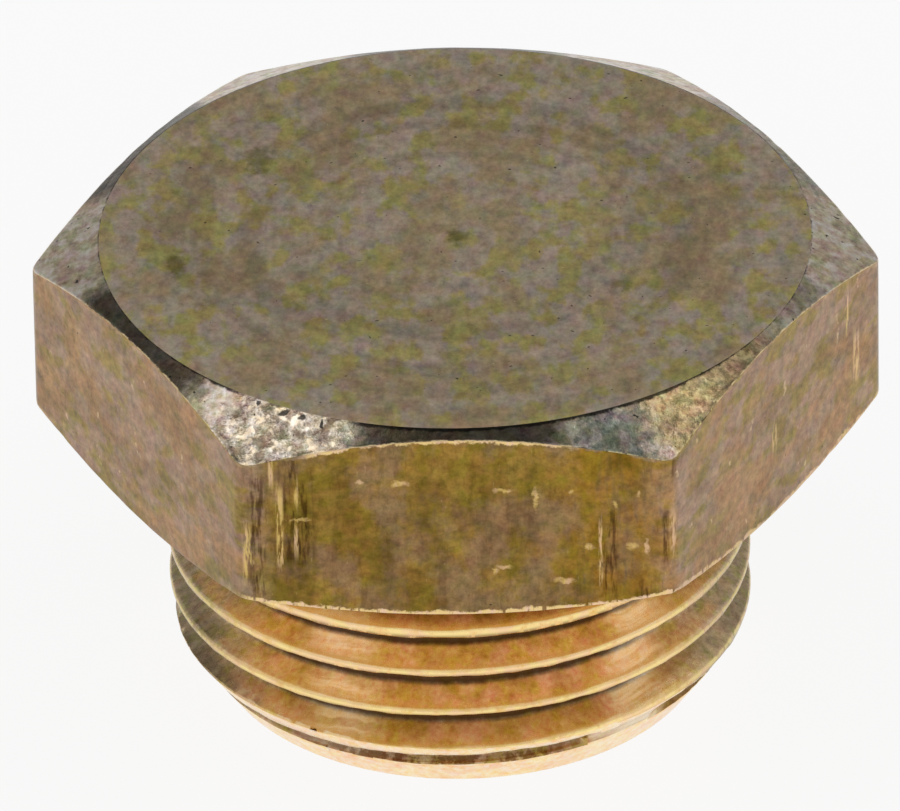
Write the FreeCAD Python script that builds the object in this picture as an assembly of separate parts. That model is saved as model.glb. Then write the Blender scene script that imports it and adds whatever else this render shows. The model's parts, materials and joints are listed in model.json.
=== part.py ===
import FreeCAD, Part
import math
import os

# Brass hexagon head pipe plug, turned in one piece from hexagon bar.
# It stands on its thread's end face. The origin is the middle of that face, +Z runs up through the head,
# and two flats of the hexagon face -Y and +Y. Lengths are in millimetres and angles in degrees.

# Head
across_flats = 21.0
bar_corner_radius = 0.65
head_height = 6.1            # bearing face to top face
top_face_diameter = 20.25    # circle where the top chamfer starts
top_chamfer_slope = 26.5     # below the top face
bearing_face_diameter = 20.4  # circle where the lower chamfer starts
lower_chamfer_slope = 20.0   # above the bearing face

# Shank
shank_length = 7.8           # end face to bearing face
end_face_diameter = 14.0
end_chamfer_angle = 35.0     # from the axis
neck_fillet_radius = 0.3

# Parallel pipe thread, right hand, 19 threads an inch
thread_diameter = 16.662
thread_pitch = 1.337
thread_angle = 55.0          # between the two flanks
first_crest_height = 0.53    # middle of the first crest above the end face, on the -Y side
plain_neck_length = 0.7      # no thread at all here, under the head
run_out_length = 1.0         # the groove fades out over this length, below the plain neck

# Worked out from the above
total_height = shank_length + head_height
thread_radius = thread_diameter / 2
half_angle = math.radians(thread_angle / 2)
sharp_thread_height = thread_pitch / 2 / math.tan(half_angle)
truncation = sharp_thread_height / 6          # the flat crest and the flat root each take this off
thread_depth = sharp_thread_height - 2 * truncation
thread_end_height = shank_length - plain_neck_length
rod_tail_length = 3 * thread_pitch            # the threaded rod starts this far below the end face
clearance = 0.1                               # cutters reach this far past the metal they cut
axis_base = FreeCAD.Vector(0, 0, 0)
axis_up = FreeCAD.Vector(0, 0, 1)


def turned(outline):
    """Solid of revolution about Z from (radius, height) points."""
    points = [FreeCAD.Vector(radius, 0, height) for radius, height in outline]
    face = Part.Face(Part.makePolygon(points + points[:1]))
    return face.revolve(axis_base, axis_up, 360)


def hexagon_bar():
    """Length of hexagon bar with rounded corners, two flats facing -Y and +Y."""
    corner_distance = across_flats / 2 / math.cos(math.radians(30))
    corners = []
    for step in range(6):
        angle = math.radians(60 * step)
        corner = FreeCAD.Vector(corner_distance * math.cos(angle), corner_distance * math.sin(angle), shank_length)
        corners.append(corner)
    bar = Part.Face(Part.makePolygon(corners + corners[:1])).extrude(axis_up * head_height)
    upright = [edge for edge in bar.Edges if edge.BoundBox.ZLength > head_height / 2]
    return bar.makeFillet(bar_corner_radius, upright)


def head():
    """The bar's end with both of its faces chamfered on the lathe."""
    reach = across_flats
    top_radius = top_face_diameter / 2
    bearing_radius = bearing_face_diameter / 2
    top_drop = (reach - top_radius) * math.tan(math.radians(top_chamfer_slope))
    lower_rise = (reach - bearing_radius) * math.tan(math.radians(lower_chamfer_slope))
    above = turned([
        (top_radius, total_height),
        (reach, total_height - top_drop),
        (reach, total_height + clearance),
        (top_radius, total_height + clearance),
    ])
    below = turned([
        (bearing_radius, shank_length),
        (reach, shank_length + lower_rise),
        (reach, shank_length - clearance),
        (bearing_radius, shank_length - clearance),
    ])
    return hexagon_bar().cut(above).cut(below)


def neck_fillet():
    """Ring that fills the corner between the plain neck and the head's bearing face."""
    start = FreeCAD.Vector(thread_radius, 0, shank_length - neck_fillet_radius)
    end = FreeCAD.Vector(thread_radius + neck_fillet_radius, 0, shank_length)
    sag = neck_fillet_radius * (1 - math.cos(math.radians(45)))
    middle = FreeCAD.Vector(thread_radius + sag, 0, shank_length - sag)
    inner_radius = thread_radius - clearance
    back = Part.makePolygon([
        end,
        FreeCAD.Vector(thread_radius + neck_fillet_radius, 0, shank_length + clearance),
        FreeCAD.Vector(inner_radius, 0, shank_length + clearance),
        FreeCAD.Vector(inner_radius, 0, shank_length - neck_fillet_radius),
        start,
    ])
    outline = Part.Wire([Part.Arc(start, middle, end).toShape()] + back.Edges)
    return Part.Face(outline).revolve(axis_base, axis_up, 360)


def groove_section(height):
    """Section of the thread groove in the XZ plane, its middle at this height: two flanks and a flat root."""
    outer_radius = thread_radius + clearance
    root_radius = thread_radius - thread_depth
    half_root = truncation * math.tan(half_angle)
    half_mouth = half_root + (outer_radius - root_radius) * math.tan(half_angle)
    corners = [
        FreeCAD.Vector(outer_radius, 0, height - half_mouth),
        FreeCAD.Vector(root_radius, 0, height - half_root),
        FreeCAD.Vector(root_radius, 0, height + half_root),
        FreeCAD.Vector(outer_radius, 0, height + half_mouth),
    ]
    return Part.makePolygon(corners + corners[:1])


def helix_path(start_height, end_height):
    """Right-hand helix at the thread's pitch, in quarter turns, that starts over +X."""
    quarter_rise = thread_pitch / 4
    quarters = []
    for step in range(math.ceil((end_height - start_height) / quarter_rise)):
        quarter = Part.makeHelix(thread_pitch, quarter_rise, thread_radius).Edges[0]
        quarter.rotate(axis_base, axis_up, 90 * step)
        quarter.translate(axis_up * (start_height + step * quarter_rise))
        quarters.append(quarter)
    return Part.Wire(quarters)


def thread_groove():
    """Right-hand helical groove that starts below the end face and fades out below the plain neck."""
    height_over_front = first_crest_height - thread_pitch / 2
    start_height = height_over_front + thread_pitch / 4 - 2 * thread_pitch    # the helix starts over +X
    path = helix_path(start_height, thread_end_height + thread_pitch)
    groove = path.makePipeShell([groove_section(start_height)], True, True)

    inner_radius = thread_radius - thread_depth - clearance
    outer_radius = thread_radius + 2 * clearance
    fade_slope = run_out_length / thread_depth
    cutting_zone = turned([
        (inner_radius, -rod_tail_length),
        (outer_radius, -rod_tail_length),
        (outer_radius, thread_end_height + 2 * clearance * fade_slope),
        (inner_radius, thread_end_height - (thread_depth + clearance) * fade_slope),
    ])
    return groove.common(cutting_zone).Solids[0]


def shank():
    """Threaded rod, trimmed to the end face and its chamfer, that reaches a little way into the head."""
    rod_length = rod_tail_length + shank_length + clearance
    rod = Part.makeCylinder(thread_radius, rod_length, FreeCAD.Vector(0, 0, -rod_tail_length))
    threaded_rod = rod.cut(thread_groove())
    end_radius = end_face_diameter / 2
    outer_radius = thread_radius + clearance
    chamfer_length = (outer_radius - end_radius) / math.tan(math.radians(end_chamfer_angle))
    turned_away = turned([
        (0, -rod_tail_length - clearance),
        (outer_radius, -rod_tail_length - clearance),
        (outer_radius, chamfer_length),
        (end_radius, 0),
        (0, 0),
    ])
    return threaded_rod.cut(turned_away)


plug_body = head().fuse([neck_fillet(), shank()]).Solids[0]

os.makedirs("parts", exist_ok=True)
plug_body.exportStep("parts/plug_body.step")
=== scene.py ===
import json
import math

import bmesh
import bpy
import numpy as np
from mathutils import Matrix, Vector, noise


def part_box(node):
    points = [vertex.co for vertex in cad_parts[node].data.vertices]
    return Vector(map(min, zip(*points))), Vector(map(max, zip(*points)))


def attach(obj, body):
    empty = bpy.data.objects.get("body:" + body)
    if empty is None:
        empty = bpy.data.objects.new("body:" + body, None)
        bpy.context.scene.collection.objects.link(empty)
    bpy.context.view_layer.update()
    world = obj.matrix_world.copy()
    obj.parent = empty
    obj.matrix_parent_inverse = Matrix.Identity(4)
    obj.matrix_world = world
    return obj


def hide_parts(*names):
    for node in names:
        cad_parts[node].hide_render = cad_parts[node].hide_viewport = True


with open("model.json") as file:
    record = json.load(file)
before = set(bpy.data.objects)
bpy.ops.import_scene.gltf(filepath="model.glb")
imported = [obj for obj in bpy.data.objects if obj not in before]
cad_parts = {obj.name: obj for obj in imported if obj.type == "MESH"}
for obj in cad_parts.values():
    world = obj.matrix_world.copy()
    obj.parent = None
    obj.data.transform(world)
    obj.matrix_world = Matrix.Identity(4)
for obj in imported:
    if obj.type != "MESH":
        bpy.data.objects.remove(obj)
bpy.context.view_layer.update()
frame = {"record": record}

# Looks of the brass hexagon head pipe plug: one closed mesh in place of the plain solid, with its wear.
# Lengths are in millimetres and angles in degrees, unless a comment or name says otherwise.
# Azimuths are from +X. The mesh is written in metres. Colours are linear red, green and blue.

millimetre = 0.001

# Sizes that the frame gives
lowest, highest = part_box("plug_body")
corner_reach = highest.x / millimetre
half_across_flats = highest.y / millimetre
total_height = highest.z / millimetre
mounts = {mount["name"]: mount for mount in frame["record"]["mounts"]}
shank_length = mounts["bearing_face"]["pos_m"][2] / millimetre
crest_radius = mounts["thread"]["dims"]["r_mm"]
thread_end_height = mounts["thread"]["dims"]["length_mm"]

# Head
top_face_radius = 10.125
top_chamfer_slope = 26.5
bearing_face_radius = 10.2
lower_chamfer_slope = 20.0
cos_30 = math.cos(math.radians(30))
hexagon_corner = half_across_flats / cos_30
bar_corner_radius = (hexagon_corner - corner_reach) / (hexagon_corner / half_across_flats - 1)

# Corners of the top chamfer where the tool tore the metal
left_tear_azimuth = -116.5
left_tear_depth = 0.022
right_tear_azimuth = -47.0
right_tear_depth = 0.014
tear_half_width = 14.0

# Stretch of the lowest groove that is smeared full of metal: azimuths, and how full
smeared_from = -63.0
smeared_to = -44.0
smeared_share = 0.9

# Shank and thread
neck_fillet_radius = 0.3
end_face_radius = 7.0
end_chamfer_angle = 35.0
thread_pitch = 1.337
thread_angle = 55.0
first_crest_height = 0.53
run_out_length = 1.0
worn_crest_heights = [0.5, 1.9, 3.2, 4.5, 5.9]       # over the -Y side
worn_crest_half_widths = [0.10, 0.125, 0.085, 0.10, 0.135]
crest_lean = 0.06            # wear has taken more off the upper side of each crest
half_angle = math.radians(thread_angle / 2)
sharp_thread_height = thread_pitch / 2 / math.tan(half_angle)
thread_depth = sharp_thread_height * 2 / 3
root_radius = crest_radius - thread_depth
end_slope = math.tan(math.radians(end_chamfer_angle))
top_slope = math.tan(math.radians(top_chamfer_slope))
lower_slope = math.tan(math.radians(lower_chamfer_slope))

# Columns of the mesh round each of the six corners and along each of the six flats
arc_columns = 12
flat_columns = 68
column_count = 6 * (arc_columns + flat_columns)

# Material of each stretch of the surface, in the order of the mesh's slots
TOP, CHAMFER, FLAT, UNDERSIDE, THREAD, END = range(6)


def bar_outline():
    """Angle and reach of the hexagon bar's outline at each column, the first one again at the end."""
    centre_distance = (half_across_flats - bar_corner_radius) / cos_30
    half_flat = centre_distance / 2
    points = []
    for side in range(6):
        to_corner = Matrix.Rotation(math.radians(60 * side), 2)
        to_flat = Matrix.Rotation(math.radians(60 * side + 30), 2)
        for step in range(arc_columns):
            bend = math.radians(60 * step / arc_columns - 30)
            arc = Vector((math.cos(bend), math.sin(bend))) * bar_corner_radius
            points.append(to_corner @ (Vector((centre_distance, 0)) + arc))
        for step in range(flat_columns):
            along = half_flat * (2 * step / flat_columns - 1)
            points.append(to_flat @ Vector((half_across_flats, along)))
    points = np.array(points + points[:1])
    return np.unwrap(np.arctan2(points[:, 1], points[:, 0])), np.hypot(points[:, 0], points[:, 1])


angles, bar_reach = bar_outline()


def wobble(radius, height, scale, seed):
    """Noise from about -1 to 1 at each column, on a circle of this radius and height."""
    height = np.broadcast_to(height, angles.shape)
    full_range = 1.6
    seed_step = Vector((seed, 2.3 * seed, 0))
    values = []
    for angle, level in zip(angles, height):
        place = Vector((radius * math.cos(angle), radius * math.sin(angle), level)) / scale
        values.append(noise.noise(place + seed_step))
    return np.array(values) * full_range


def row(radius, height):
    """One row of the mesh: radius and height at each column."""
    return np.stack([np.broadcast_to(radius, angles.shape), np.broadcast_to(height, angles.shape)], axis=1)


def unit(vectors):
    return vectors / np.linalg.norm(vectors, axis=1, keepdims=True)


def rounded_edge(before, corner, after, size, steps):
    """Rows that round an edge off, from this size before it to as far after it."""
    size = np.broadcast_to(size, angles.shape)[:, None]
    back = unit(before - corner) * size
    forth = unit(after - corner) * size
    return [corner + back * (1 - t) ** 2 + forth * t ** 2 for t in np.linspace(0, 1, steps + 1)]


def between(start, end, count):
    """Rows evenly spaced between two rows, but the first and last of three or more are closer to them."""
    closer = 0.4
    shares = np.linspace(0, 1, count + 2)[1:-1]
    if count > 2:
        shares[0] *= closer
        shares[-1] = 1 - (1 - shares[-1]) * closer
    return [start + (end - start) * share for share in shares]


class Skin:
    """The surface's rows from the top face down to the end face, and the material below each row."""

    def __init__(self):
        self.rows = []
        self.zones = []

    def add(self, rows, zone):
        self.rows += rows
        self.zones += [zone] * len(rows)

    def edge(self, before, corner, after, size, steps, upper_zone, lower_zone):
        rows = rounded_edge(before, corner, after, size, steps)
        half = len(rows) // 2
        self.add(rows[:half], upper_zone)
        self.add(rows[half:], lower_zone)

    def stretch(self, end, count, zone):
        self.add(between(self.rows[-1], end, count), zone)


def head_rows(skin):
    """Top edge, top chamfer, side faces, lower chamfer and bearing face."""
    inside_top = row(0, total_height)
    top_edge = row(top_face_radius, total_height)
    upper_edge = row(bar_reach, total_height - (bar_reach - top_face_radius) * top_slope)
    lower_edge = row(bar_reach, shank_length + (bar_reach - bearing_face_radius) * lower_slope)
    bearing_edge = row(bearing_face_radius, shank_length)
    fillet_edge = row(crest_radius + neck_fillet_radius, shank_length)

    top_wear = 0.05 + 0.015 * wobble(top_face_radius, total_height, 1.5, 1)
    upper_wear = 0.07 + 0.03 * wobble(top_face_radius, total_height, 0.9, 2)
    lower_wear = 0.05 + 0.02 * wobble(top_face_radius, shank_length, 0.7, 3)
    bearing_edge_rounding = 0.06
    skin.edge(inside_top, top_edge, upper_edge, top_wear, 4, TOP, CHAMFER)
    upper_rows = rounded_edge(top_edge, upper_edge, lower_edge, upper_wear, 4)
    skin.stretch(upper_rows[0], 12, CHAMFER)
    skin.edge(top_edge, upper_edge, lower_edge, upper_wear, 4, CHAMFER, FLAT)
    lower_rows = rounded_edge(upper_edge, lower_edge, bearing_edge, lower_wear, 4)
    skin.stretch(lower_rows[0], 22, FLAT)
    skin.edge(upper_edge, lower_edge, bearing_edge, lower_wear, 4, FLAT, UNDERSIDE)
    bearing_rows = rounded_edge(lower_edge, bearing_edge, fillet_edge, bearing_edge_rounding, 3)
    skin.stretch(bearing_rows[0], 3, UNDERSIDE)
    skin.add(bearing_rows, UNDERSIDE)
    skin.stretch(fillet_edge, 3, UNDERSIDE)


def neck_rows(skin):
    """Fillet under the head, and the plain neck."""
    fillet_steps = 5
    for step in range(fillet_steps):
        bend = math.radians(90 * step / fillet_steps)
        radius = crest_radius + neck_fillet_radius * (1 - math.sin(bend))
        height = shank_length - neck_fillet_radius * (1 - math.cos(bend))
        skin.add([row(radius, height)], UNDERSIDE)
    skin.add([row(crest_radius, shank_length - neck_fillet_radius)], THREAD)
    skin.stretch(row(crest_radius, thread_end_height), 2, THREAD)


def smooth_step_up(values, softness):
    """The larger of the values and 0, with the corner between the two softened."""
    return (values + np.sqrt(values ** 2 + softness ** 2)) / 2


def thread_profile(phase, half_width):
    """Radius of the thread at this height above the nearest crest's middle."""
    crest_softness = 0.06
    root_softness = 0.2
    fall = smooth_step_up((np.abs(phase + crest_lean) - half_width) / math.tan(half_angle), crest_softness)
    return root_radius + smooth_step_up(thread_depth - fall, root_softness)


def move_to_crossing(radius, height, limit, outside):
    """Moves points cut off by a cone onto it, and those next to the profile to where the two cross."""
    new_radius = np.where(outside, limit, radius)
    new_height = height.copy()
    over = radius - limit
    for shift in (1, -1):
        neighbour_over = np.roll(over, shift, axis=0)
        neighbour_radius = np.roll(radius, shift, axis=0)
        neighbour_height = np.roll(height, shift, axis=0)
        crossing = outside & ~np.roll(outside, shift, axis=0)
        crossing[0 if shift == 1 else -1] = False
        step = over - neighbour_over
        share = np.where(crossing, over / np.where(step == 0, 1, step), 0)
        new_radius = np.where(crossing, radius + (neighbour_radius - radius) * share, new_radius)
        new_height = np.where(crossing, height + (neighbour_height - height) * share, new_height)
    return new_radius, new_height


def helix_rows():
    """Radius and height of the rows that follow the helix, from the neck down past the end face."""
    above_crest = [0.6, 0.54, 0.46, 0.36, 0.24, 0.14, 0.08, 0.03]
    below_crest = [-0.04, -0.11, -0.15, -0.21, -0.3, -0.44, -0.54, -0.61]
    phases = [thread_pitch / 2] + above_crest + below_crest
    first_crest = first_crest_height + thread_pitch * (angles / math.tau + 0.25)
    heights, phase_rows, widths = [], [], []
    turns = math.ceil(thread_end_height / thread_pitch)
    turns_below = 3
    for turn in range(turns, -turns_below, -1):
        crest = first_crest + turn * thread_pitch
        half_width = np.interp(crest, worn_crest_heights, worn_crest_half_widths)
        uneven = 0.024 * wobble(crest_radius, crest, 1.1, 4) + 0.016 * wobble(crest_radius, crest, 0.35, 5)
        for phase in phases:
            heights.append(crest + phase)
            phase_rows.append(phase + 0 * angles)
            widths.append(half_width + uneven)
    height = np.array(heights)
    radius = thread_profile(np.array(phase_rows), np.array(widths))
    return smeared(radius, height, first_crest), height


def smeared(radius, height, first_crest):
    """The radius with the lowest groove smeared nearly full along its short stretch."""
    end_cone = end_face_radius + height * end_slope
    azimuths = (np.degrees(angles) + 180) % 360 - 180
    share = []
    for azimuth in azimuths:
        start = fade(azimuth, smeared_from - 1, smeared_from + 1)
        share.append(smeared_share * start * fade(azimuth, smeared_to + 4, smeared_to - 4))
    share = np.array(share) * (height < first_crest)
    return radius + (np.minimum(end_cone, crest_radius) - radius) * share


def thread_rows(skin):
    """Rows of the thread, cut by the end chamfer's cone and by the cone on which the groove fades out."""
    radius, height = helix_rows()
    end_cone = end_face_radius + height * end_slope
    radius, height = move_to_crossing(radius, height, end_cone, radius > end_cone)
    fade_slope = thread_depth / run_out_length
    fade_cone = crest_radius - (thread_end_height - height) * fade_slope
    radius, height = move_to_crossing(radius, height, fade_cone, radius < fade_cone)

    lowest_row = 0.14
    too_high = height > thread_end_height
    too_low = height < lowest_row
    radius = np.where(too_low, end_face_radius + lowest_row * end_slope, radius)
    radius = np.where(too_high, crest_radius, radius)
    height = np.clip(height, lowest_row, thread_end_height)
    skin.add([row(*pair) for pair in zip(radius, height)], THREAD)


def end_rows(skin):
    """The end chamfer's last stretch and the rounded edge of the end face."""
    end_edge_rounding = 0.08
    end_edge = row(end_face_radius, 0)
    skin.edge(skin.rows[-1], end_edge, row(0, 0), end_edge_rounding, 4, END, END)


def ring_ids(vertices, radius, height, stride):
    """Adds a ring of points at every stride-th column and gives their numbers."""
    first = len(vertices)
    for angle in angles[::stride]:
        vertices.append((radius * math.cos(angle), radius * math.sin(angle), height))
    return list(range(first, len(vertices)))


def cap(vertices, faces, zones, outer, outer_radius, height, zone, upward):
    """Closes a round end with rings that have fewer columns towards the middle."""
    spacing = 0.34
    finest = 0.09
    widest_stride = 16
    innermost = 0.05
    stride = 1
    radius = outer_radius - spacing / 4
    while radius > innermost:
        next_stride = stride
        if math.tau * radius * stride / column_count < finest and stride < widest_stride:
            next_stride = stride * 2
        inner = ring_ids(vertices, radius, height, next_stride)
        step = next_stride // stride
        for index in range(len(inner) - 1):
            start = index * step
            loops = [[inner[index]] + outer[start:start + step + 1] + [inner[index + 1]]]
            if step == 2:
                middle = outer[start + 1]
                loops = [
                    [inner[index], outer[start], middle],
                    [inner[index], middle, inner[index + 1]],
                    [middle, outer[start + 2], inner[index + 1]],
                ]
            for loop in loops:
                faces.append(loop if upward else loop[::-1])
                zones.append(zone)
        outer = inner
        stride = next_stride
        radius -= min(spacing, radius * 0.3)
    centre = len(vertices)
    vertices.append((0, 0, height))
    for start, end in zip(outer, outer[1:]):
        loop = [centre, start, end]
        faces.append(loop if upward else loop[::-1])
        zones.append(zone)


def fade(value, low, high):
    """0 at low and 1 at high, with a smooth change between them."""
    share = min(max((value - low) / (high - low), 0), 1)
    return share * share * (3 - 2 * share)


def reach_over_flats(x, y):
    """How far out a place is, square to the nearest of the six flats."""
    return max(abs(y), abs(x * cos_30 + y / 2), abs(x * cos_30 - y / 2))


def tearing(azimuth):
    """How deep the metal is torn at this azimuth of the top chamfer."""
    depth = 0.004
    for corner, tear_depth in ((left_tear_azimuth, left_tear_depth), (right_tear_azimuth, right_tear_depth)):
        depth += tear_depth * fade(abs(azimuth - corner), tear_half_width, tear_half_width * 0.6)
    return depth


def relief(place):
    """How deep the wear is here: lines and dents on the flats, torn metal on the chamfer, a dull thread."""
    x, y, z = place
    if z < shank_length:
        return 0.005 * (1 + noise.noise(place * 1.4)) * fade(z, 0, 0.3)
    inset = half_across_flats - reach_over_flats(x, y)
    on_flat = fade(inset, 0.12, 0.02) * fade(z, shank_length, shank_length + 0.3)
    lines = 1 + noise.noise(Vector((x * 1.7, y * 1.7, z * 0.2)))
    dents = fade(noise.noise(place * 1.1 + Vector((7, 0, 0))), 0.25, 0.6)
    past_circle = fade(math.hypot(x, y), top_face_radius + 0.05, top_face_radius + 0.3)
    on_chamfer = past_circle * fade(z, total_height - 1.5, total_height - 1.2) * (1 - on_flat)
    rough = 1.2 + noise.noise(place * 2.3) + noise.noise(place * 4.6)
    torn = tearing(math.degrees(math.atan2(y, x))) * rough
    return on_flat * (0.008 * lines + 0.016 * dents) + on_chamfer * torn


def surface_rows():
    """All rows of the surface, from the top edge to the end face's edge."""
    skin = Skin()
    head_rows(skin)
    neck_rows(skin)
    thread_rows(skin)
    end_rows(skin)
    return skin


def joined(skin):
    """Points, faces and each face's material, of the rows joined into a skin and closed at both ends."""
    grid = np.array(skin.rows)
    radius = grid[:, :, 0]
    points = np.stack([radius * np.cos(angles), radius * np.sin(angles), grid[:, :, 1]], axis=2)
    vertices = [tuple(point) for point in points.reshape(-1, 3)]
    width = column_count + 1
    faces = []
    zones = []
    for upper in range(len(skin.rows) - 1):
        for column in range(column_count):
            corner = upper * width + column
            faces.append([corner, corner + width, corner + width + 1, corner + 1])
            zones.append(skin.zones[upper])
    top_ring = list(range(width))
    end_ring = list(range((len(skin.rows) - 1) * width, len(skin.rows) * width))
    cap(vertices, faces, zones, top_ring, radius[0].min(), total_height, TOP, True)
    cap(vertices, faces, zones, end_ring, radius[-1].min(), 0, END, False)
    return vertices, faces, zones


def wear_down(shape):
    """Presses the wear into the surface, and gives what lies on the end chamfer its material."""
    shape.normal_update()
    for vertex in shape.verts:
        vertex.co -= vertex.normal * relief(vertex.co)
    for face in shape.faces:
        middle = face.calc_center_median()
        cone = end_face_radius + middle.z * end_slope
        if face.material_index == THREAD and math.hypot(middle.x, middle.y) > cone - 0.02:
            face.material_index = END


def plug_surface():
    """The finished piece, which stands for the plain solid."""
    vertices, faces, zones = joined(surface_rows())
    mesh = bpy.data.meshes.new("plug_surface")
    mesh.from_pydata(vertices, [], faces)
    mesh.polygons.foreach_set("material_index", zones)
    shape = bmesh.new()
    shape.from_mesh(mesh)
    bmesh.ops.remove_doubles(shape, verts=shape.verts, dist=0.001)
    bmesh.ops.dissolve_degenerate(shape, edges=shape.edges, dist=0.0005)
    wear_down(shape)
    shape.to_mesh(mesh)
    shape.free()
    mesh.transform(Matrix.Scale(millimetre, 4))
    mesh.shade_smooth()
    piece = bpy.data.objects.new("plug_surface", mesh)
    bpy.context.scene.collection.objects.link(piece)
    return piece


def add_node(tree, kind, values, output=0, **settings):
    """Adds a node, fills its sockets with values or links, and gives one of its outputs."""
    node = tree.nodes.new(kind)
    for name, value in settings.items():
        setattr(node, name, value)
    for socket, value in values.items():
        if isinstance(value, bpy.types.NodeSocket):
            tree.links.new(value, node.inputs[socket])
        else:
            node.inputs[socket].default_value = value
    return node.outputs[output]


class Finish:
    """Node tree of one metal finish. Values in it are sockets or numbers, and masks run from 0 to 1."""

    def __init__(self, name):
        self.material = bpy.data.materials.new(name)
        self.material.use_nodes = True
        self.tree = self.material.node_tree
        self.shader = self.tree.nodes["Principled BSDF"]
        self.shader.inputs["Metallic"].default_value = 1
        coordinates = self.tree.nodes.new("ShaderNodeTexCoord").outputs["Object"]
        self.place = self.stretched(coordinates, (1 / millimetre,) * 3)
        self.x, self.y, self.z = self.parts(self.place)
        flat_place = self.stretched(self.place, (1, 1, 0))
        self.radius = self.node("ShaderNodeVectorMath", {0: flat_place}, 1, operation="LENGTH")
        self.outward = self.node("ShaderNodeVectorMath", {0: flat_place}, operation="NORMALIZE")

    def node(self, kind, values, output=0, **settings):
        return add_node(self.tree, kind, values, output, **settings)

    def parts(self, vector):
        node = self.tree.nodes.new("ShaderNodeSeparateXYZ")
        self.tree.links.new(vector, node.inputs[0])
        return node.outputs

    def stretched(self, vector, factors):
        return self.node("ShaderNodeVectorMath", {0: vector, 1: factors}, operation="MULTIPLY")

    def moved(self, vector, step):
        return self.node("ShaderNodeVectorMath", {0: vector, 1: (step, step, step)}, operation="ADD")

    def maths(self, operation, first, second=0.0):
        return self.node("ShaderNodeMath", {0: first, 1: second}, operation=operation)

    def folded(self, operation, values):
        result = values[0]
        for value in values[1:]:
            result = self.maths(operation, result, value)
        return result

    def product(self, *values):
        return self.folded("MULTIPLY", values)

    def total(self, *values):
        return self.folded("ADD", values)

    def highest_of(self, *values):
        return self.folded("MAXIMUM", values)

    def absolute(self, value):
        return self.maths("ABSOLUTE", value)

    def rest_of(self, mask):
        """1 where the mask is 0, and 0 where it is 1."""
        return self.maths("SUBTRACT", 1.0, mask)

    def at_least(self, least, mask):
        """The mask, but running from this least value to 1."""
        return self.total(self.product(mask, 1 - least), least)

    def spread(self, value, low, high):
        """0 at low and 1 at high, with a smooth change between them."""
        values = {"Value": value, "From Min": min(low, high), "From Max": max(low, high)}
        values["To Min"], values["To Max"] = (0.0, 1.0) if low < high else (1.0, 0.0)
        return self.node("ShaderNodeMapRange", values, interpolation_type="SMOOTHSTEP")

    def band(self, value, centre, half_width):
        """1 where the value is at the centre, and 0 from half_width away."""
        away = self.absolute(self.maths("SUBTRACT", value, centre))
        return self.spread(away, half_width, half_width * 0.35)

    def azimuth_here(self):
        return self.product(self.maths("ARCTAN2", self.y, self.x), 180 / math.pi)

    def reach_over_flats(self):
        """How far out the place is, square to the nearest of the six flats."""
        along = self.product(self.x, cos_30)
        across = self.product(self.y, 0.5)
        sides = [self.y, self.total(along, across), self.maths("SUBTRACT", along, across)]
        return self.highest_of(*[self.absolute(side) for side in sides])

    def cloud(self, place, scale, detail=2.0, roughness=0.5):
        """Noise from 0 to 1, about 0.5 on average."""
        values = {"Vector": place, "Scale": scale, "Detail": detail, "Roughness": roughness}
        return self.node("ShaderNodeTexNoise", values)

    def mix(self, factor, first, second, way="MIX"):
        values = {0: factor}
        for socket, colour in ((6, first), (7, second)):
            values[socket] = (*colour, 1) if isinstance(colour, tuple) else colour
        return self.node("ShaderNodeMix", values, 2, data_type="RGBA", blend_type=way, clamp_result=True)

    def tinted(self, factor, colour, tint):
        """The colour multiplied by the tint, as far as the factor says."""
        return self.mix(factor, colour, tint, "MULTIPLY")

    def mottled(self, place, main, second, third):
        """Tarnish: soft patches of three colours, half a millimetre or so across."""
        patches = self.cloud(place, 1.7, 3.0, 0.55)
        colour = self.mix(self.spread(patches, 0.46, 0.6), main, second)
        patches = self.cloud(self.moved(place, 17.0), 0.65, 4.0, 0.6)
        return self.mix(self.spread(patches, 0.47, 0.62), colour, third)

    def shaded(self, colour, place, scale, dark):
        """The colour with broad patches darkened by this tint."""
        patches = self.cloud(self.moved(place, 31.0), scale, 4.0, 0.6)
        return self.tinted(self.spread(patches, 0.4, 0.64), colour, dark)

    def grained(self, colour, place, scale, contrast, tint=0.3):
        """The colour with a fine grain, lighter and darker and, by the tint's share, in other hues."""
        speckle = self.cloud(place, scale, 3.0, 0.7)
        shade = self.total(self.product(speckle, contrast), 0.5 - 0.5 * contrast)
        hues = self.node("ShaderNodeTexNoise", {"Vector": place, "Scale": 0.6 * scale, "Detail": 2.0}, 1)
        share = contrast * tint
        values = {0: hues, 1: (share,) * 3, 2: (-0.5 * share,) * 3}
        hues = self.node("ShaderNodeVectorMath", values, operation="MULTIPLY_ADD")
        grain = self.node("ShaderNodeVectorMath", {0: hues, 1: shade}, operation="ADD")
        return self.mix(1.0, colour, grain, "OVERLAY")

    def specks(self, scale, low, high, step):
        """Small scattered spots, 1 in their middle."""
        return self.spread(self.cloud(self.moved(self.place, step), scale, 1.0), low, high)

    def upright_bands(self, bands):
        """Bands up the bar: x of the middle, half width, and the heights that each runs between."""
        soft_end = 0.4
        masks = []
        for middle, half_width, low, high in bands:
            above = self.spread(self.z, low - soft_end, low + soft_end)
            below = self.spread(self.z, high + soft_end, high - soft_end)
            masks.append(self.product(self.band(self.x, middle, half_width), self.product(above, below)))
        return self.highest_of(*masks)

    def warped(self, scale, amount):
        """Parts of the place, each pushed about by up to half this amount, for ragged outlines."""
        values = {"Vector": self.place, "Scale": scale, "Detail": 3.0, "Roughness": 0.6}
        push = self.node("ShaderNodeTexNoise", values, 1)
        values = {0: push, 1: (2.0 * amount,) * 3, 2: (-amount,) * 3}
        push = self.node("ShaderNodeVectorMath", values, operation="MULTIPLY_ADD")
        return self.parts(self.node("ShaderNodeVectorMath", {0: self.place, 1: push}, operation="ADD"))

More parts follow.
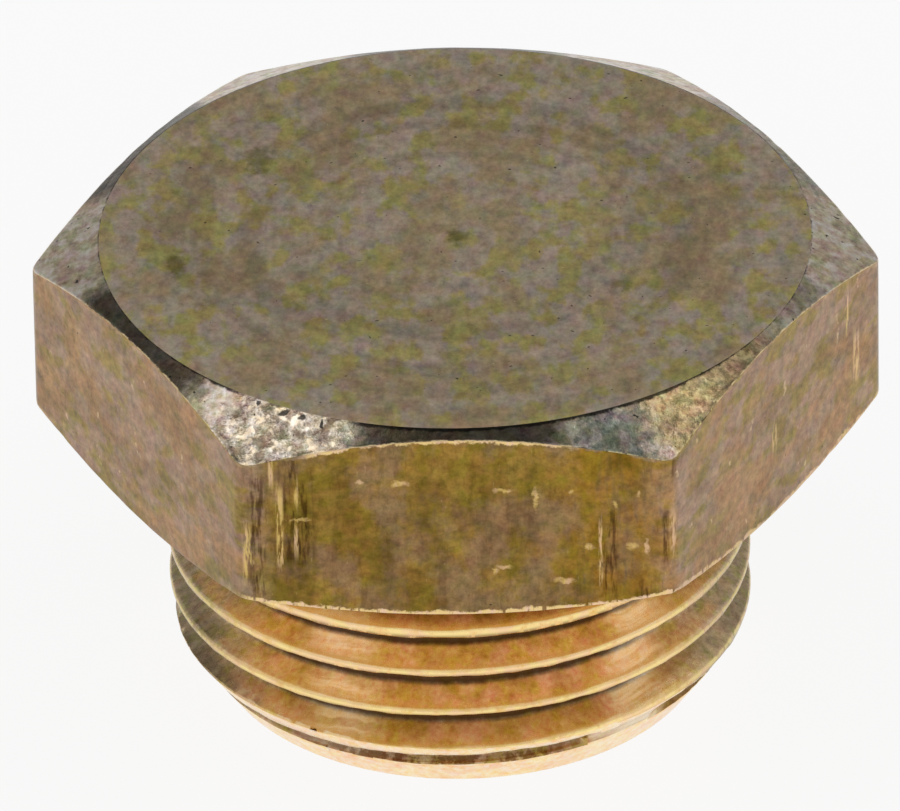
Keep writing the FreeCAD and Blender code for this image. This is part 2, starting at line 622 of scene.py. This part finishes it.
    def away(self, across, up, marks, ragged):
        """How far off the nearest mark is, in its own half sizes squared, from (centre, half sizes) pairs."""
        nearest = None
        for centre, size in marks:
            aside = self.maths("DIVIDE", self.maths("SUBTRACT", across, centre[0]), size[0])
            above = self.maths("DIVIDE", self.maths("SUBTRACT", up, centre[1]), size[1])
            away = self.total(self.product(aside, aside), self.product(above, above))
            nearest = away if nearest is None else self.maths("MINIMUM", nearest, away)
        return self.total(nearest, self.product(ragged, 4.0))

    def lathe_place(self, per_radius, per_turn, per_height=0.0):
        """Place in which noise forms rings round the axis."""
        direction = self.parts(self.outward)
        along = self.total(self.product(self.radius, per_radius), self.product(self.z, per_height))
        values = {0: self.product(direction[0], per_turn), 1: self.product(direction[1], per_turn), 2: along}
        return self.node("ShaderNodeCombineXYZ", values)

    def finish(self, colour, roughness, height, depth):
        """Joins colour, roughness and a relief of this depth, in millimetres, to the shader."""
        values = {"Height": height, "Distance": depth * millimetre}
        bump = self.node("ShaderNodeBump", values)
        self.tree.links.new(colour, self.shader.inputs["Base Color"])
        self.tree.links.new(roughness, self.shader.inputs["Roughness"])
        self.tree.links.new(bump, self.shader.inputs["Normal"])
        return self.material


class TurnedTop(Finish):
    """Dull grey-brown top face with faint turning rings, olive tarnish, a centre mark and a few stains."""

    # Centre (x, y) and half sizes
    centre_mark = ((0.0, 0.0), (0.33, 0.33))
    stains = [centre_mark, ((-5.6, 4.2), (0.5, 0.75)), ((-7.9, -1.4), (0.3, 0.7)), ((4.7, -2.7), (0.3, 0.3))]

    def tarnished(self, place):
        pinkish_grey = (0.53, 0.43, 0.33)
        olive = (0.51, 0.43, 0.16)
        brown = (0.49, 0.37, 0.22)
        dark_ring_radius = 6.6
        dark_ring_half_width = 2.6
        colour = self.mottled(place, pinkish_grey, olive, brown)
        rings = self.cloud(self.lathe_place(1.3, 0.8), 1.0, 3.0)
        colour = self.tinted(self.spread(rings, 0.42, 0.62), colour, (0.88, 0.89, 0.88))
        dark_ring = self.band(self.radius, dark_ring_radius, dark_ring_half_width)
        dark_ring = self.product(dark_ring, self.spread(rings, 0.3, 0.6))
        return self.tinted(dark_ring, colour, (0.86, 0.85, 0.84))

    def stained(self, colour):
        ragged = self.cloud(self.place, 3.0, 3.0, 0.7)
        stained = self.spread(self.away(self.x, self.y, self.stains, ragged), 3.6, 2.0)
        return self.tinted(stained, colour, (0.56, 0.58, 0.40))

    def made(self):
        long_place = self.stretched(self.place, (0.75, 0.5, 1.0))
        colour = self.stained(self.tarnished(long_place))
        colour = self.grained(colour, long_place, 5.0, 0.7, 0.3)
        dark_specks = self.specks(4.5, 0.745, 0.78, 11.0)
        colour = self.mix(self.product(dark_specks, 0.8), colour, (0.05, 0.045, 0.03))
        pale_specks = self.specks(7.0, 0.78, 0.83, 23.0)
        colour = self.mix(self.product(pale_specks, 0.6), colour, (0.8, 0.72, 0.35))
        fine_rings = self.cloud(self.lathe_place(14.0, 1.6), 1.0, 2.0)
        grain = self.cloud(self.place, 6.0, 3.0, 0.7)
        height = self.total(self.product(fine_rings, 0.6), self.product(grain, 0.6))
        height = self.total(height, self.product(dark_specks, -2.0))
        return self.finish(colour, self.total(0.36, self.product(grain, 0.16)), height, 0.003)


class TurnedChamfer(Finish):
    """Chamfer above the flats: painted shade where narrow, worn on its outer edge, torn at two corners with a
    painted highlight.
    """

    # Centre (x, y) and half sizes, on the left tear
    pits = [
        ((-4.83, -9.07), (0.16, 0.07)),
        ((-4.3, -9.33), (0.1, 0.08)),
        ((-5.5, -8.62), (0.07, 0.05)),
        ((-3.75, -9.66), (0.05, 0.1)),
    ]
    # Centre and half sizes, as azimuth and height
    blue_stain = ((-66.0, 13.5), (6.0, 0.6))
    right_patch_azimuth = right_tear_azimuth + 1

    def __init__(self, name):
        super().__init__(name)
        self.azimuth = self.azimuth_here()
        self.reach = self.reach_over_flats()
        self.ragged = self.cloud(self.place, 2.6, 4.0, 0.7)
        self.left_tear = self.patch(left_tear_azimuth, 15.5, 12.5)
        self.right_tear = self.patch(self.right_patch_azimuth, 20.0, 15.0)
        self.untorn = self.rest_of(self.left_tear)
        # Mask of the painted highlight on the torn corners
        self.tear_highlight_mask = self.spread(self.cloud(self.moved(self.place, 5.0), 2.0, 4.0, 0.7), 0.37, 0.6)

    def patch(self, azimuth, outer, inner):
        """Ragged patch about this azimuth: 0 past the outer half width, and 1 within the inner."""
        away = self.absolute(self.total(self.azimuth, -azimuth))
        return self.spread(self.total(away, self.product(self.ragged, 8.0)), outer, inner)

    def torn(self, colour):
        # Torn corners, whose bright colours are a painted highlight
        dull_left, highlight_left = (0.31, 0.235, 0.165), (1.0, 0.85, 0.66)
        dull_right, highlight_right = (0.34, 0.26, 0.13), (0.64, 0.48, 0.26)
        colour = self.mix(self.left_tear, colour, self.mix(self.tear_highlight_mask, dull_left, highlight_left))
        return self.mix(self.right_tear, colour, self.mix(self.tear_highlight_mask, dull_right, highlight_right))

    def with_painted_shade(self, colour):
        """Painted shade where the chamfer is narrow, less of it on the right, and a blue-green stain."""
        narrowness = self.maths("DIVIDE", self.reach, self.radius)
        # Painted shade: darker where the chamfer is narrow
        painted_shade = self.spread(self.total(narrowness, self.product(self.ragged, 0.02)), 0.955, 0.985)
        strength = self.total(0.88, self.product(self.spread(self.x, 5.5, 7.0), -0.38))
        colour = self.mix(self.product(painted_shade, self.untorn, strength), colour, (0.045, 0.035, 0.02))
        blue = self.spread(self.away(self.azimuth, self.z, [self.blue_stain], self.ragged), 3.2, 2.2)
        return self.mix(self.product(blue, 0.7), colour, (0.12, 0.15, 0.13))

    def lined(self, colour):
        """A dark line round the top face, which thins out at both sides."""
        sideways = self.spread(self.absolute(self.x), 5.5, 8.5)
        uneven = self.product(self.ragged, 0.24)
        from_circle = self.total(self.radius, uneven, self.product(sideways, 0.09))
        line = self.spread(from_circle, top_face_radius + 0.25, top_face_radius + 0.18)
        return self.mix(self.product(line, self.untorn, 0.9), colour, (0.015, 0.013, 0.01))

    def edge_worn(self, colour):
        """Outer edge rubbed dark and golden in dots over the front, and golden on the other flats."""
        worn_edge = self.total(self.reach, self.product(self.ragged, 0.16))
        wear = self.spread(worn_edge, half_across_flats + 0.03, half_across_flats + 0.07)
        middle = self.spread(self.absolute(self.total(self.x, 0.5)), 4.0, 3.4)
        dots = self.spread(self.cloud(self.place, 3.5, 3.0, 0.7), 0.46, 0.56)
        corner_wear = self.mix(dots, (0.03, 0.03, 0.02), (0.8, 0.66, 0.28))
        golden = self.highest_of(middle, self.spread(self.y, -8.6, -8.0))
        return self.mix(self.product(wear, 0.8), colour, self.mix(golden, corner_wear, (0.9, 0.7, 0.4)))

    def pitted(self, colour):
        nearly_black = (0.02, 0.02, 0.02)
        warped = self.warped(4.0, 0.12)
        pitted = self.spread(self.away(warped[0], warped[1], self.pits, 0.0), 1.8, 0.6)
        colour = self.mix(self.product(pitted, 0.9), colour, nearly_black)
        return self.mix(self.product(self.specks(5.0, 0.74, 0.79, 41.0), 0.9), colour, nearly_black)

    def made(self):
        colour = self.mottled(self.place, (0.70, 0.61, 0.52), (0.50, 0.44, 0.29), (0.55, 0.42, 0.31))
        colour = self.lined(self.with_painted_shade(self.torn(colour)))
        colour = self.grained(colour, self.place, 4.0, 1.1, 0.25)
        colour = self.pitted(self.edge_worn(colour))
        rings = self.cloud(self.lathe_place(9.0, 3.0), 1.0, 2.0)
        grain = self.cloud(self.place, 5.0, 3.0, 0.7)
        tears = self.highest_of(self.left_tear, self.product(self.right_tear, 0.5))
        height = self.total(rings, grain, self.product(tears, self.tear_highlight_mask, 2.0))
        return self.finish(colour, self.total(0.24, self.product(grain, 0.2)), height, 0.010)


class DrawnFlat(Finish):
    """Side faces left as drawn bar: streaked, with a painted reflection that makes them golden in front and
    behind and pinkish tan on the others.
    """

    # Bands up the front flat and the right front flat: x of the middle, half width, lowest and highest point
    dark_bands = [
        (-5.6, 0.3, 8.6, 12.6),
        (-4.7, 0.35, 12.3, 13.3),
        (-4.45, 0.6, 9.7, 12.3),
        (4.28, 0.3, 8.5, 11.3),
        (5.25, 0.2, 7.9, 8.9),
        (5.85, 0.12, 9.6, 11.2),
        (6.1, 0.1, 12.3, 13.0),
    ]
    bright_bands = [
        (-5.9, 0.17, 9.2, 10.9),
        (-5.2, 0.1, 12.3, 13.2),
        (-4.97, 0.14, 9.6, 12.2),
        (-4.52, 0.09, 10.0, 10.9),
        (-4.5, 0.08, 11.6, 12.4),
        (4.02, 0.08, 8.9, 11.0),
        (6.1, 0.17, 9.8, 11.2),
        (6.38, 0.17, 11.0, 12.4),
    ]
    right_bright_bands = [(8.97, 0.09, 10.1, 10.9), (11.08, 0.08, 11.6, 13.1), (11.36, 0.12, 9.8, 11.3)]
    # Centre (x, z) and half sizes, on the front flat
    nicks = [
        ((-4.4, 11.15), (0.24, 0.05)),
        ((-2.7, 12.35), (0.1, 0.07)),
        ((-1.6, 12.3), (0.20, 0.08)),
        ((1.05, 9.35), (0.1, 0.09)),
        ((1.3, 9.48), (0.22, 0.06)),
        ((1.3, 12.05), (0.24, 0.06)),
        ((2.2, 11.75), (0.06, 0.33)),
        ((3.0, 9.0), (0.28, 0.06)),
        ((3.2, 11.95), (0.07, 0.07)),
        ((3.7, 10.1), (0.1, 0.09)),
        ((4.45, 11.55), (0.06, 0.08)),
        ((4.9, 10.15), (0.13, 0.12)),
        ((5.1, 11.85), (0.05, 0.1)),
        ((5.32, 10.1), (0.06, 0.2)),
    ]

    def __init__(self, name):
        super().__init__(name)
        self.ragged_lines = self.cloud(self.stretched(self.place, (3.0, 3.0, 0.5)), 1.0, 3.0, 0.7)
        self.fine_lines = self.cloud(self.stretched(self.place, (6.0, 6.0, 1.6)), 1.0, 3.0, 0.7)
        self.streaks = self.cloud(self.stretched(self.place, (7.0, 7.0, 0.9)), 1.0, 2.0, 0.6)
        out = self.absolute(self.y)
        self.front_or_back = self.spread(out, half_across_flats - 0.2, half_across_flats - 0.05)
        self.front_only = self.spread(self.y, -half_across_flats + 0.3, -half_across_flats + 0.1)
        self.near_side = self.spread(self.y, 0.0, -1.0)
        self.line_strength = self.at_least(0.3, self.front_or_back)

    def tarnished(self):
        long_place = self.stretched(self.place, (1.0, 1.0, 0.75))
        wide_place = self.stretched(self.place, (0.5, 0.5, 0.85))
        tall_place = self.stretched(self.place, (1.0, 1.0, 0.5))
        tan = self.mottled(wide_place, (0.37, 0.242, 0.155), (0.31, 0.218, 0.062), (0.395, 0.228, 0.105))
        tan = self.shaded(tan, wide_place, 0.9, (0.8, 0.77, 0.69))
        golden = self.mottled(long_place, (0.31, 0.186, 0.04), (0.26, 0.176, 0.027), (0.29, 0.178, 0.08))
        golden = self.shaded(golden, tall_place, 0.8, (0.7, 0.68, 0.66))
        # Painted reflection: golden on the flats in front and behind, tan on the others
        from_corner = self.total(self.absolute(self.x), self.product(self.ragged_lines, 1.2))
        return self.mix(self.product(self.front_or_back, self.spread(from_corner, 6.5, 5.6)), tan, golden)

    def lined(self, colour):
        """Lines along the bar, stronger in front and behind, and small pale marks on the other flats."""
        line_tint = (0.84, 0.82, 0.80)
        dark_lines = self.spread(self.ragged_lines, 0.5, 0.32)
        colour = self.tinted(self.product(dark_lines, self.line_strength), colour, line_tint)
        dark_lines = self.spread(self.fine_lines, 0.46, 0.3)
        colour = self.tinted(self.product(dark_lines, self.line_strength), colour, line_tint)
        pale_lines = self.product(self.spread(self.fine_lines, 0.62, 0.8), self.line_strength, 0.4)
        colour = self.mix(pale_lines, colour, (0.70, 0.50, 0.27))
        mark_place = self.stretched(self.moved(self.place, 3.0), (1.9, 1.9, 1.5))
        side_marks = self.spread(self.cloud(mark_place, 1.0, 3.0, 0.6), 0.66, 0.74)
        side_marks = self.product(side_marks, self.rest_of(self.front_or_back), 0.6)
        return self.mix(side_marks, colour, (0.72, 0.52, 0.30))

    def banded(self, colour):
        """An orange stretch and the dark bands of the front flat."""
        orange = self.band(self.x, 4.8, 2.4)
        orange = self.product(orange, self.front_only, self.spread(self.ragged_lines, 0.35, 0.55))
        colour = self.tinted(orange, colour, (1.06, 0.96, 0.68))
        broken = self.total(self.streaks, self.product(self.fine_lines, 0.5))
        dark = self.upright_bands(self.dark_bands)
        dark = self.product(dark, self.front_only, self.spread(broken, 0.86, 0.62))
        return self.tinted(dark, colour, (0.40, 0.35, 0.36))

    def bright_marks(self):
        """Bright bands, broken into streaks, and the nicks."""
        bright = self.product(self.upright_bands(self.bright_bands), self.front_only)
        right = self.product(self.upright_bands(self.right_bright_bands), self.near_side)
        streak_place = self.stretched(self.moved(self.place, 13.0), (9.0, 9.0, 1.3))
        thin_streaks = self.cloud(streak_place, 1.0, 3.0, 0.7)
        bright = self.product(self.highest_of(bright, right), self.spread(thin_streaks, 0.42, 0.58))
        warped = self.warped(4.0, 0.16)
        ragged = self.cloud(self.place, 5.0, 3.0, 0.8)
        nicked = self.spread(self.away(warped[0], warped[2], self.nicks, ragged), 4.4, 1.2)
        return self.highest_of(bright, self.product(nicked, self.front_only))

    def edge_worn(self, colour):
        """Edges rubbed bright in uneven stretches, and dotted dark beside the front's bright middle."""
        top_drop = self.product(self.total(self.radius, -top_face_radius), top_slope)
        below_top_edge = self.maths("SUBTRACT", self.maths("SUBTRACT", total_height, top_drop), self.z)
        lower_rise = self.product(self.total(self.radius, -bearing_face_radius), lower_slope)
        above_lower_edge = self.maths("SUBTRACT", self.z, self.total(lower_rise, shank_length))
        uneven = self.product(self.cloud(self.place, 1.3, 5.0, 0.75), 0.6)
        upper_wear = self.spread(self.total(below_top_edge, uneven), 0.41, 0.33)
        lower_wear = self.spread(self.total(above_lower_edge, uneven), 0.45, 0.37)

        middle = self.product(self.spread(self.x, -4.5, -3.9), self.spread(self.x, 3.5, 2.7))
        middle = self.product(self.front_or_back, middle)
        dots = self.product(upper_wear, self.rest_of(middle), self.spread(self.fine_lines, 0.6, 0.45))
        colour = self.mix(self.product(dots, self.front_or_back, 0.75), colour, (0.06, 0.045, 0.025))

        upper_wear = self.product(upper_wear, self.at_least(0.25, middle))
        left_flat = self.product(self.spread(self.x, -5.7, -6.3), self.near_side)
        broken = self.spread(self.streaks, 0.3, 0.45)
        lower_wear = self.product(lower_wear, self.rest_of(left_flat), broken)
        strength = self.total(self.product(self.front_or_back, 0.3), 0.55)
        wear = self.product(self.highest_of(upper_wear, lower_wear), strength)
        hues = self.spread(self.ragged_lines, 0.42, 0.58)
        return self.mix(wear, colour, self.mix(hues, (0.98, 0.72, 0.32), (0.98, 0.68, 0.46)))

    def made(self):
        colour = self.banded(self.lined(self.tarnished()))
        colour = self.grained(colour, self.stretched(self.place, (0.85, 0.85, 1.0)), 4.0, 0.75, 0.2)
        marks = self.bright_marks()
        hues = self.spread(self.ragged_lines, 0.4, 0.6)
        mark_colour = self.mix(hues, (0.92, 0.66, 0.22), (0.95, 0.62, 0.4))
        colour = self.edge_worn(self.mix(self.product(marks, 0.62), colour, mark_colour))
        dark_specks = self.specks(6.0, 0.77, 0.82, 7.0)
        colour = self.mix(self.product(dark_specks, 0.8), colour, (0.05, 0.035, 0.02))
        grain = self.cloud(self.place, 5.0, 3.0, 0.7)
        lines = self.total(self.product(self.fine_lines, 0.6), self.ragged_lines)
        lines = self.product(lines, self.line_strength)
        height = self.total(lines, self.product(grain, 0.8), self.product(marks, 0.3))
        return self.finish(colour, self.total(0.28, self.product(grain, 0.16)), height, 0.006)


class CutThread(Finish):
    """Thread and neck: coppery yellow, crests rubbed bright with a painted highlight, painted shade at the
    root and on two sides, and painted reflection in two stretches.
    """

    # Stretches with a painted reflection, as azimuth and half width
    painted_sheen_stretches = [(-116.0, 11.0), (-50.0, 9.0)]
    # Azimuths where the painted shade at the root and in the lowest groove is strongest
    root_shade_azimuth = -94.0
    groove_shade_azimuth = -93.0

    def __init__(self, name):
        super().__init__(name)
        self.azimuth = self.azimuth_here()
        self.streaked = self.stretched(self.place, (1.6, 1.6, 0.8))
        self.ragged = self.cloud(self.place, 2.6, 4.0, 0.7)
        # Mask of the painted shade on the sides that face +X and -X
        self.painted_side_shade = self.spread(self.absolute(self.parts(self.outward)[0]), 0.66, 0.92)
        self.below_neck = self.spread(self.z, thread_end_height, thread_end_height - 0.3)
        turns = self.product(self.total(self.z, -first_crest_height), 1 / thread_pitch)
        self.turns = self.total(turns, self.product(self.azimuth, -1 / 360), -0.25)

    def tarnished(self):
        """Coppery metal, with painted shade towards the root and on the sides that face +X and -X."""
        colour = self.mottled(self.streaked, (0.86, 0.575, 0.29), (0.77, 0.56, 0.17), (0.92, 0.60, 0.40))
        colour = self.shaded(colour, self.streaked, 0.9, (0.84, 0.81, 0.72))
        # Painted shade: darker towards the root
        flank = self.spread(self.radius, root_radius, crest_radius - 0.05)
        colour = self.tinted(self.rest_of(flank), colour, (0.86, 0.84, 0.82))
        # Painted shade: duller colour on the sides that face +X and -X
        side_shade_colour = self.mottled(self.streaked, (0.42, 0.34, 0.24), (0.36, 0.33, 0.17), (0.45, 0.33, 0.2))
        return self.mix(self.product(self.painted_side_shade, 0.75), colour, side_shade_colour)

    def painted_light(self, colour):
        """Two pale stretches of painted reflection, and painted shade on the last turn and neck under the
        head.
        """
        lines = self.cloud(self.lathe_place(8.0, 1.2, 8.0), 1.0, 3.0, 0.7)
        stretches = self.highest_of(*[self.band(self.azimuth, *stretch) for stretch in self.painted_sheen_stretches])
        painted_light = self.product(stretches, self.at_least(0.3, self.spread(lines, 0.4, 0.6)))
        # Painted reflection in two pale stretches
        colour = self.mix(painted_light, colour, (1.0, 0.80, 0.56))
        # Painted shade under the head: darker last turn and neck
        return self.tinted(self.spread(self.turns, 4.08, 4.26), colour, (0.66, 0.58, 0.46))

    def crested(self, colour):
        """Crests worn bright with a painted highlight, painted shade on their lower side, and a painted
        golden sheen beside them.
        """
        low = self.spread(self.z, 3.3, 2.7)
        colour = self.tinted(low, colour, (0.84, 0.84, 0.80))
        # Painted golden sheen beside the crests
        near_crest = self.spread(self.radius, crest_radius - 0.22, crest_radius - 0.02)
        painted_crest_sheen = self.product(near_crest, self.below_neck, self.rest_of(self.painted_side_shade), 0.55)
        colour = self.mix(painted_crest_sheen, colour, (1.0, 0.66, 0.24))

        uneven = self.total(self.radius, self.product(self.ragged, 0.05))
        crest = self.spread(uneven, crest_radius - 0.014, crest_radius + 0.02)
        from_crest = self.maths("SUBTRACT", self.turns, self.maths("ROUND", self.turns))
        phase = self.product(from_crest, thread_pitch)
        # Painted shade on the lower side of each crest
        lower_side_shade = self.spread(phase, -crest_lean + 0.02, -crest_lean - 0.12)
        hues = self.spread(self.cloud(self.moved(self.place, 9.0), 1.4, 3.0), 0.42, 0.62)
        # Crest colour: worn bright metal with a painted highlight
        crest_colour = self.mix(hues, (1.0, 0.78, 0.33), (0.98, 0.67, 0.38))
        crest_colour = self.tinted(self.product(self.painted_side_shade, 0.8), crest_colour, (0.6, 0.62, 0.62))
        crest_colour = self.tinted(lower_side_shade, crest_colour, (0.42, 0.36, 0.33))
        worn = self.spread(self.ragged, 0.36, 0.54)
        return self.mix(self.product(crest, self.below_neck, worn), colour, crest_colour)

    def with_painted_shade(self, colour):
        """Painted shade in the lowest groove, and a painted shade line at the root, strongest in front and
        above the end.
        """
        # Painted shade in the lowest groove, in front
        first_groove = self.spread(self.z, 1.3, 1.1)
        first_groove = self.product(first_groove, self.band(self.azimuth, self.groove_shade_azimuth, 42.0))
        painted_shade = self.product(first_groove, self.spread(self.ragged, 0.6, 0.45))
        colour = self.tinted(painted_shade, colour, (0.42, 0.31, 0.22))
        uneven = self.product(self.cloud(self.place, 3.0, 3.0, 0.7), 0.06)
        from_root = self.total(self.radius, uneven, self.product(self.z, -0.012))
        # Painted shade: dark line at the root
        root = self.spread(from_root, root_radius + 0.18, root_radius + 0.04)
        from_front = self.absolute(self.total(self.azimuth, -self.root_shade_azimuth))
        root = self.product(root, self.at_least(0.4, self.spread(from_front, 58.0, 34.0)))
        root = self.product(root, self.at_least(0.5, self.spread(self.z, 1.1, 1.8)))
        return self.mix(self.product(root, 0.95), colour, (0.05, 0.017, 0.003))

    def made(self):
        colour = self.grained(self.painted_light(self.tarnished()), self.streaked, 3.2, 0.8, 0.12)
        colour = self.with_painted_shade(self.crested(colour))
        lines = self.cloud(self.lathe_place(9.0, 2.0, 9.0), 1.0, 2.0)
        grain = self.cloud(self.place, 5.0, 3.0, 0.7)
        height = self.total(lines, self.product(grain, 0.7))
        return self.finish(colour, self.total(0.2, self.product(grain, 0.16)), height, 0.005)


class TurnedMetal(Finish):
    """Clean turned surface with faint rings, in two close colours."""

    def made(self, colour, worn_colour):
        patches = self.spread(self.cloud(self.place, 0.9, 3.0), 0.35, 0.7)
        shade = self.grained(self.mix(patches, colour, worn_colour), self.place, 4.5, 1.2)
        rings = self.cloud(self.lathe_place(9.0, 2.0, 9.0), 1.0, 2.0)
        grain = self.cloud(self.place, 5.0, 3.0, 0.7)
        height = self.total(rings, self.product(grain, 0.5))
        return self.finish(shade, self.total(0.22, self.product(grain, 0.16)), height, 0.005)


def pale_floor():
    """Floor material that the camera and reflections see nearly white, with part of the plug's shadow."""
    seen_white = 0.88            # share of the camera's view that is plain white
    reflected_white = 0.95       # and of what the metal reflects
    material = bpy.data.materials.new("pale_floor")
    material.use_nodes = True
    tree = material.node_tree
    shader = tree.nodes["Principled BSDF"]
    shader.inputs["Base Color"].default_value = (0.9, 0.9, 0.9, 1)
    shader.inputs["Roughness"].default_value = 0.9
    shader.inputs["Specular IOR Level"].default_value = 0.0
    rays = tree.nodes.new("ShaderNodeLightPath").outputs
    values = {0: rays["Is Glossy Ray"], 1: reflected_white}
    share = add_node(tree, "ShaderNodeMath", values, operation="MULTIPLY")
    values = {0: rays["Is Camera Ray"], 1: seen_white, 2: share}
    share = add_node(tree, "ShaderNodeMath", values, operation="MULTIPLY_ADD")
    white = add_node(tree, "ShaderNodeEmission", {})
    blend = add_node(tree, "ShaderNodeMixShader", {0: share, 1: shader.outputs[0], 2: white})
    tree.links.new(blend, tree.nodes["Material Output"].inputs["Surface"])
    return material


def add_floor():
    """Wide floor, just clear of the end face."""
    half_size = 3.0              # metres
    clear_of_plug = 0.01
    corners = [(-half_size, -half_size, 0), (half_size, -half_size, 0)]
    corners += [(half_size, half_size, 0), (-half_size, half_size, 0)]
    mesh = bpy.data.meshes.new("floor")
    mesh.from_pydata(corners, [], [(0, 1, 2, 3)])
    mesh.materials.append(pale_floor())
    floor = bpy.data.objects.new("floor", mesh)
    floor.location.z = -clear_of_plug * millimetre
    bpy.context.scene.collection.objects.link(floor)


def add_camera():
    """Camera at the photograph's viewing angle, with a long lens."""
    elevation = math.radians(32.161)
    object_turn = math.radians(-0.359)
    roll = math.radians(0.891)
    image_width = 900               # pixels
    pixels_per_radian = 20200.4
    distance = 0.5736               # metres
    aim_offset = (4.97, 170.09)     # pixels from the middle of the picture to the top face's middle

    turn_back = Matrix.Rotation(-object_turn, 3, "Z")
    right = Vector((1, 0, 0))
    up = Vector((0, math.sin(elevation), math.cos(elevation)))
    back = turn_back @ Vector((0, -math.cos(elevation), math.sin(elevation)))
    image_right = turn_back @ (right * math.cos(roll) - up * math.sin(roll))
    image_up = turn_back @ (right * math.sin(roll) + up * math.cos(roll))
    facing = Matrix((image_right, image_up, back)).transposed()
    aim = Vector((*aim_offset, -pixels_per_radian)).normalized()
    facing = facing @ aim.rotation_difference(Vector((0, 0, -1))).to_matrix()

    data = bpy.data.cameras.new("camera")
    data.sensor_width = 36
    data.lens = pixels_per_radian * data.sensor_width / image_width
    data.clip_end = 10
    camera = bpy.data.objects.new("camera", data)
    top_middle = Vector((0, 0, total_height * millimetre))
    camera.matrix_world = Matrix.Translation(top_middle + back * distance) @ facing.to_4x4()
    bpy.context.scene.collection.objects.link(camera)
    bpy.context.scene.camera = camera


def add_soft_box(name, towards, power):
    """Square lamp in this direction from the plug, facing it. Its distance and size are in metres."""
    distance = 0.6
    size = 0.16
    data = bpy.data.lights.new(name, "AREA")
    data.shape = "SQUARE"
    data.size = size
    data.energy = power
    lamp = bpy.data.objects.new(name, data)
    direction = Vector(towards).normalized()
    lamp.location = direction * distance
    lamp.rotation_euler = direction.to_track_quat("Z", "Y").to_euler()
    bpy.context.scene.collection.objects.link(lamp)


def add_world():
    """Pale room with a darker wall behind, and dark gaps overhead and high up at the back left."""
    room_light = 0.8
    # Direction of the middle, half angles where it is darkest and where it ends, and the light there
    back_wall = ((0.0, 1.0, 0.35), 32.0, 62.0, 0.42)
    gap_overhead = ((0.0, 0.05, 1.0), 16.0, 26.0, 0.06)
    gap_back_left = ((-0.50, 0.55, 0.66), 10.0, 18.0, 0.1)
    world = bpy.data.worlds.new("studio")
    world.use_nodes = True
    tree = world.node_tree
    direction = tree.nodes.new("ShaderNodeTexCoord").outputs["Generated"]
    light = room_light
    for towards, inner, outer, level in (back_wall, gap_overhead, gap_back_left):
        values = {0: direction, 1: Vector(towards).normalized()}
        nearness = add_node(tree, "ShaderNodeVectorMath", values, 1, operation="DOT_PRODUCT")
        values = {"Value": nearness, "To Min": room_light, "To Max": level}
        values["From Min"] = math.cos(math.radians(outer))
        values["From Max"] = math.cos(math.radians(inner))
        shade = add_node(tree, "ShaderNodeMapRange", values, interpolation_type="SMOOTHSTEP")
        light = add_node(tree, "ShaderNodeMath", {0: light, 1: shade}, operation="MINIMUM")
    background = tree.nodes["Background"]
    tree.links.new(light, background.inputs["Strength"])
    background.inputs["Color"].default_value = (1, 1, 1, 1)
    bpy.context.scene.world = world


bpy.context.scene.view_settings.view_transform = "Standard"
add_camera()
add_floor()
add_world()
add_soft_box("left_soft_box", (-0.33, 0.15, 0.93), 0.18)
add_soft_box("right_soft_box", (0.47, 0.28, 0.83), 0.10)

plug = plug_surface()
plug.data.materials.append(TurnedTop("turned_top").made())
plug.data.materials.append(TurnedChamfer("turned_chamfer").made())
plug.data.materials.append(DrawnFlat("drawn_flat").made())
plug.data.materials.append(TurnedMetal("turned_underside").made((0.72, 0.5, 0.25), (0.6, 0.42, 0.2)))
plug.data.materials.append(CutThread("cut_thread").made())
plug.data.materials.append(TurnedMetal("turned_end").made((1.0, 0.77, 0.44), (0.97, 0.68, 0.42)))
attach(plug, "root")
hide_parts("plug_body")
